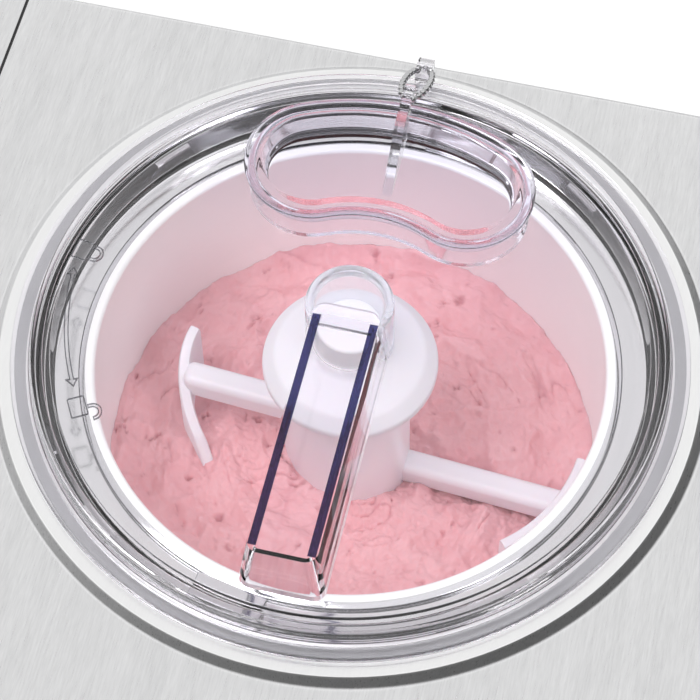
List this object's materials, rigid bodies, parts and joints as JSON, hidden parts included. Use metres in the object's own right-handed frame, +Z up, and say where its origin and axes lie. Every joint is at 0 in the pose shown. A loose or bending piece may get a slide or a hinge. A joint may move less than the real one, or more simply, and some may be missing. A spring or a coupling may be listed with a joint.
{
  "type": "ice cream maker",
  "caption": "Compressor ice cream maker with a steel top, a lift-out bowl and paddle, and a clear turning lid with a handle and a tethered filling cap.",
  "frame": {"origin": "on the floor under the middle of the case, at the feet's bottom plane", "axes": "+X to the right along the case's width, +Y to the back, +Z up"},
  "size_m": [0.43, 0.3, 0.2664],
  "materials": {
    "brushed_steel": "brushed",
    "case_steel": "brushed",
    "zinc_steel": "satin",
    "black_steel": "satin",
    "bowl_aluminium": "satin",
    "fin_aluminium": "satin",
    "clear_plastic": "clear",
    "white_plastic": "satin",
    "black_plastic": "satin",
    "smoke_lens": "gloss",
    "lamp_lens": "gloss",
    "silver_plastic": "satin",
    "board": "matte",
    "rubber": "matte",
    "seal_rubber": "matte",
    "foam": "matte",
    "copper": "satin",
    "bronze": "satin",
    "chrome": "polished",
    "gear_plastic": "satin",
    "gear_steel": "ground"
  },
  "bodies": {
    "housing": {"base_tray": "zinc_steel", "rubber_feet": "rubber", "foot_screws": "zinc_steel", "outer_shell": "case_steel", "rear_panel": "zinc_steel", "case_screws": "chrome", "top_plate": "brushed_steel", "console_plate": "brushed_steel", "recess_ring": "brushed_steel", "well_cup": "brushed_steel", "lid_keepers": "brushed_steel", "evaporator_jacket": "fin_aluminium", "well_insulation": "foam", "compressor": "black_steel", "compressor_grommets": "rubber", "terminal_cover": "black_plastic", "condenser": "fin_aluminium", "fan_frame": "black_plastic", "filter_drier": "copper", "discharge_line": "copper", "liquid_line": "copper", "capillary_line": "copper", "suction_line": "copper", "gearbox_tray": "gear_plastic", "gearbox_cover": "gear_plastic", "lower_bush": "bronze", "upper_bush": "bronze", "shaft_seal": "rubber", "idler_axle": "gear_steel", "drive_motor": "zinc_steel", "control_fascia": "black_plastic", "display_lens": "smoke_lens", "indicator_lenses": "lamp_lens", "timer_encoder": "black_plastic", "button_switches": "black_plastic", "control_board": "board", "board_standoffs": "white_plastic", "power_inlet": "black_plastic", "inlet_pins": "chrome", "power_switch": "black_plastic"},
    "bowl": {"bowl": "bowl_aluminium", "bowl_tube": "bowl_aluminium"},
    "paddle": {"paddle_body": "white_plastic", "paddle_cap": "white_plastic"},
    "seal": {"lid_seal": "seal_rubber"},
    "lid": {"lid_shell": "clear_plastic", "lid_handle": "clear_plastic", "cap_chain": "chrome"},
    "cap": {"fill_cap": "clear_plastic"},
    "drive": {"drive_shaft": "gear_steel", "output_gear": "gear_steel"},
    "idler": {"idler_gear": "gear_plastic"},
    "rotor": {"motor_shaft": "gear_steel", "motor_pinion": "bronze"},
    "fan": {"fan_rotor": "black_plastic"},
    "knob": {"timer_knob": "silver_plastic"},
    "start": {"start_button": "silver_plastic"},
    "cool": {"cool_button": "silver_plastic"},
    "rocker": {"power_rocker": "black_plastic"}
  },
  "joints": [
    {"name": "bowl_lift", "type": "slide", "parent": "housing", "child": "bowl", "axis": [0, 0, 1], "range_m": [0, 0.13]},
    {"name": "drive_spin", "type": "hinge", "parent": "housing", "child": "drive", "pos_m": [0.065, 0.017, 0], "axis": [0, 0, 1], "continuous": true},
    {"name": "paddle_spin", "type": "hinge", "parent": "bowl", "child": "paddle", "pos_m": [0.065, 0.017, 0], "axis": [0, 0, 1], "continuous": true},
    {"name": "idler_spin", "type": "hinge", "parent": "housing", "child": "idler", "pos_m": [0.065, -0.0383, 0], "axis": [0, 0, 1], "continuous": true},
    {"name": "motor_spin", "type": "hinge", "parent": "housing", "child": "rotor", "pos_m": [0.11217, -0.0383, 0], "axis": [0, 0, 1], "continuous": true},
    {"name": "lid_lift", "type": "slide", "parent": "bowl", "child": "seal", "axis": [0, 0, 1], "range_m": [0, 0.1]},
    {"name": "lid_turn", "type": "hinge", "parent": "seal", "child": "lid", "pos_m": [0.065, 0.017, 0.2364], "axis": [0, 0, 1], "range_deg": [0, 20]},
    {"name": "cap_lift", "type": "slide", "parent": "lid", "child": "cap", "axis": [0, 0, 1], "range_m": [0, 0.01], "deforming": ["cap_chain"]},
    {"name": "fan_spin", "type": "hinge", "parent": "housing", "child": "fan", "pos_m": [-0.1758, -0.0778, 0.0655], "axis": [1, 0, 0], "continuous": true},
    {"name": "knob_turn", "type": "hinge", "parent": "housing", "child": "knob", "pos_m": [-0.1545, -0.102, 0.23], "axis": [0, 0, -1], "range_deg": [0, 300]},
    {"name": "start_press", "type": "slide", "parent": "housing", "child": "start", "axis": [0, 0, -1], "range_m": [0, 0.002], "stiffness_N_per_m": 400},
    {"name": "cool_press", "type": "slide", "parent": "housing", "child": "cool", "axis": [0, 0, -1], "range_m": [0, 0.002], "stiffness_N_per_m": 400},
    {"name": "power_rock", "type": "hinge", "parent": "housing", "child": "rocker", "pos_m": [-0.103, 0.1425, 0.056], "axis": [1, 0, 0], "range_deg": [0, 8]}
  ],
  "couplings": [
    {"joint": "paddle_spin", "follows": "drive_spin", "ratio": 1},
    {"joint": "idler_spin", "follows": "drive_spin", "ratio": -4.5},
    {"joint": "motor_spin", "follows": "drive_spin", "ratio": 18}
  ]
}
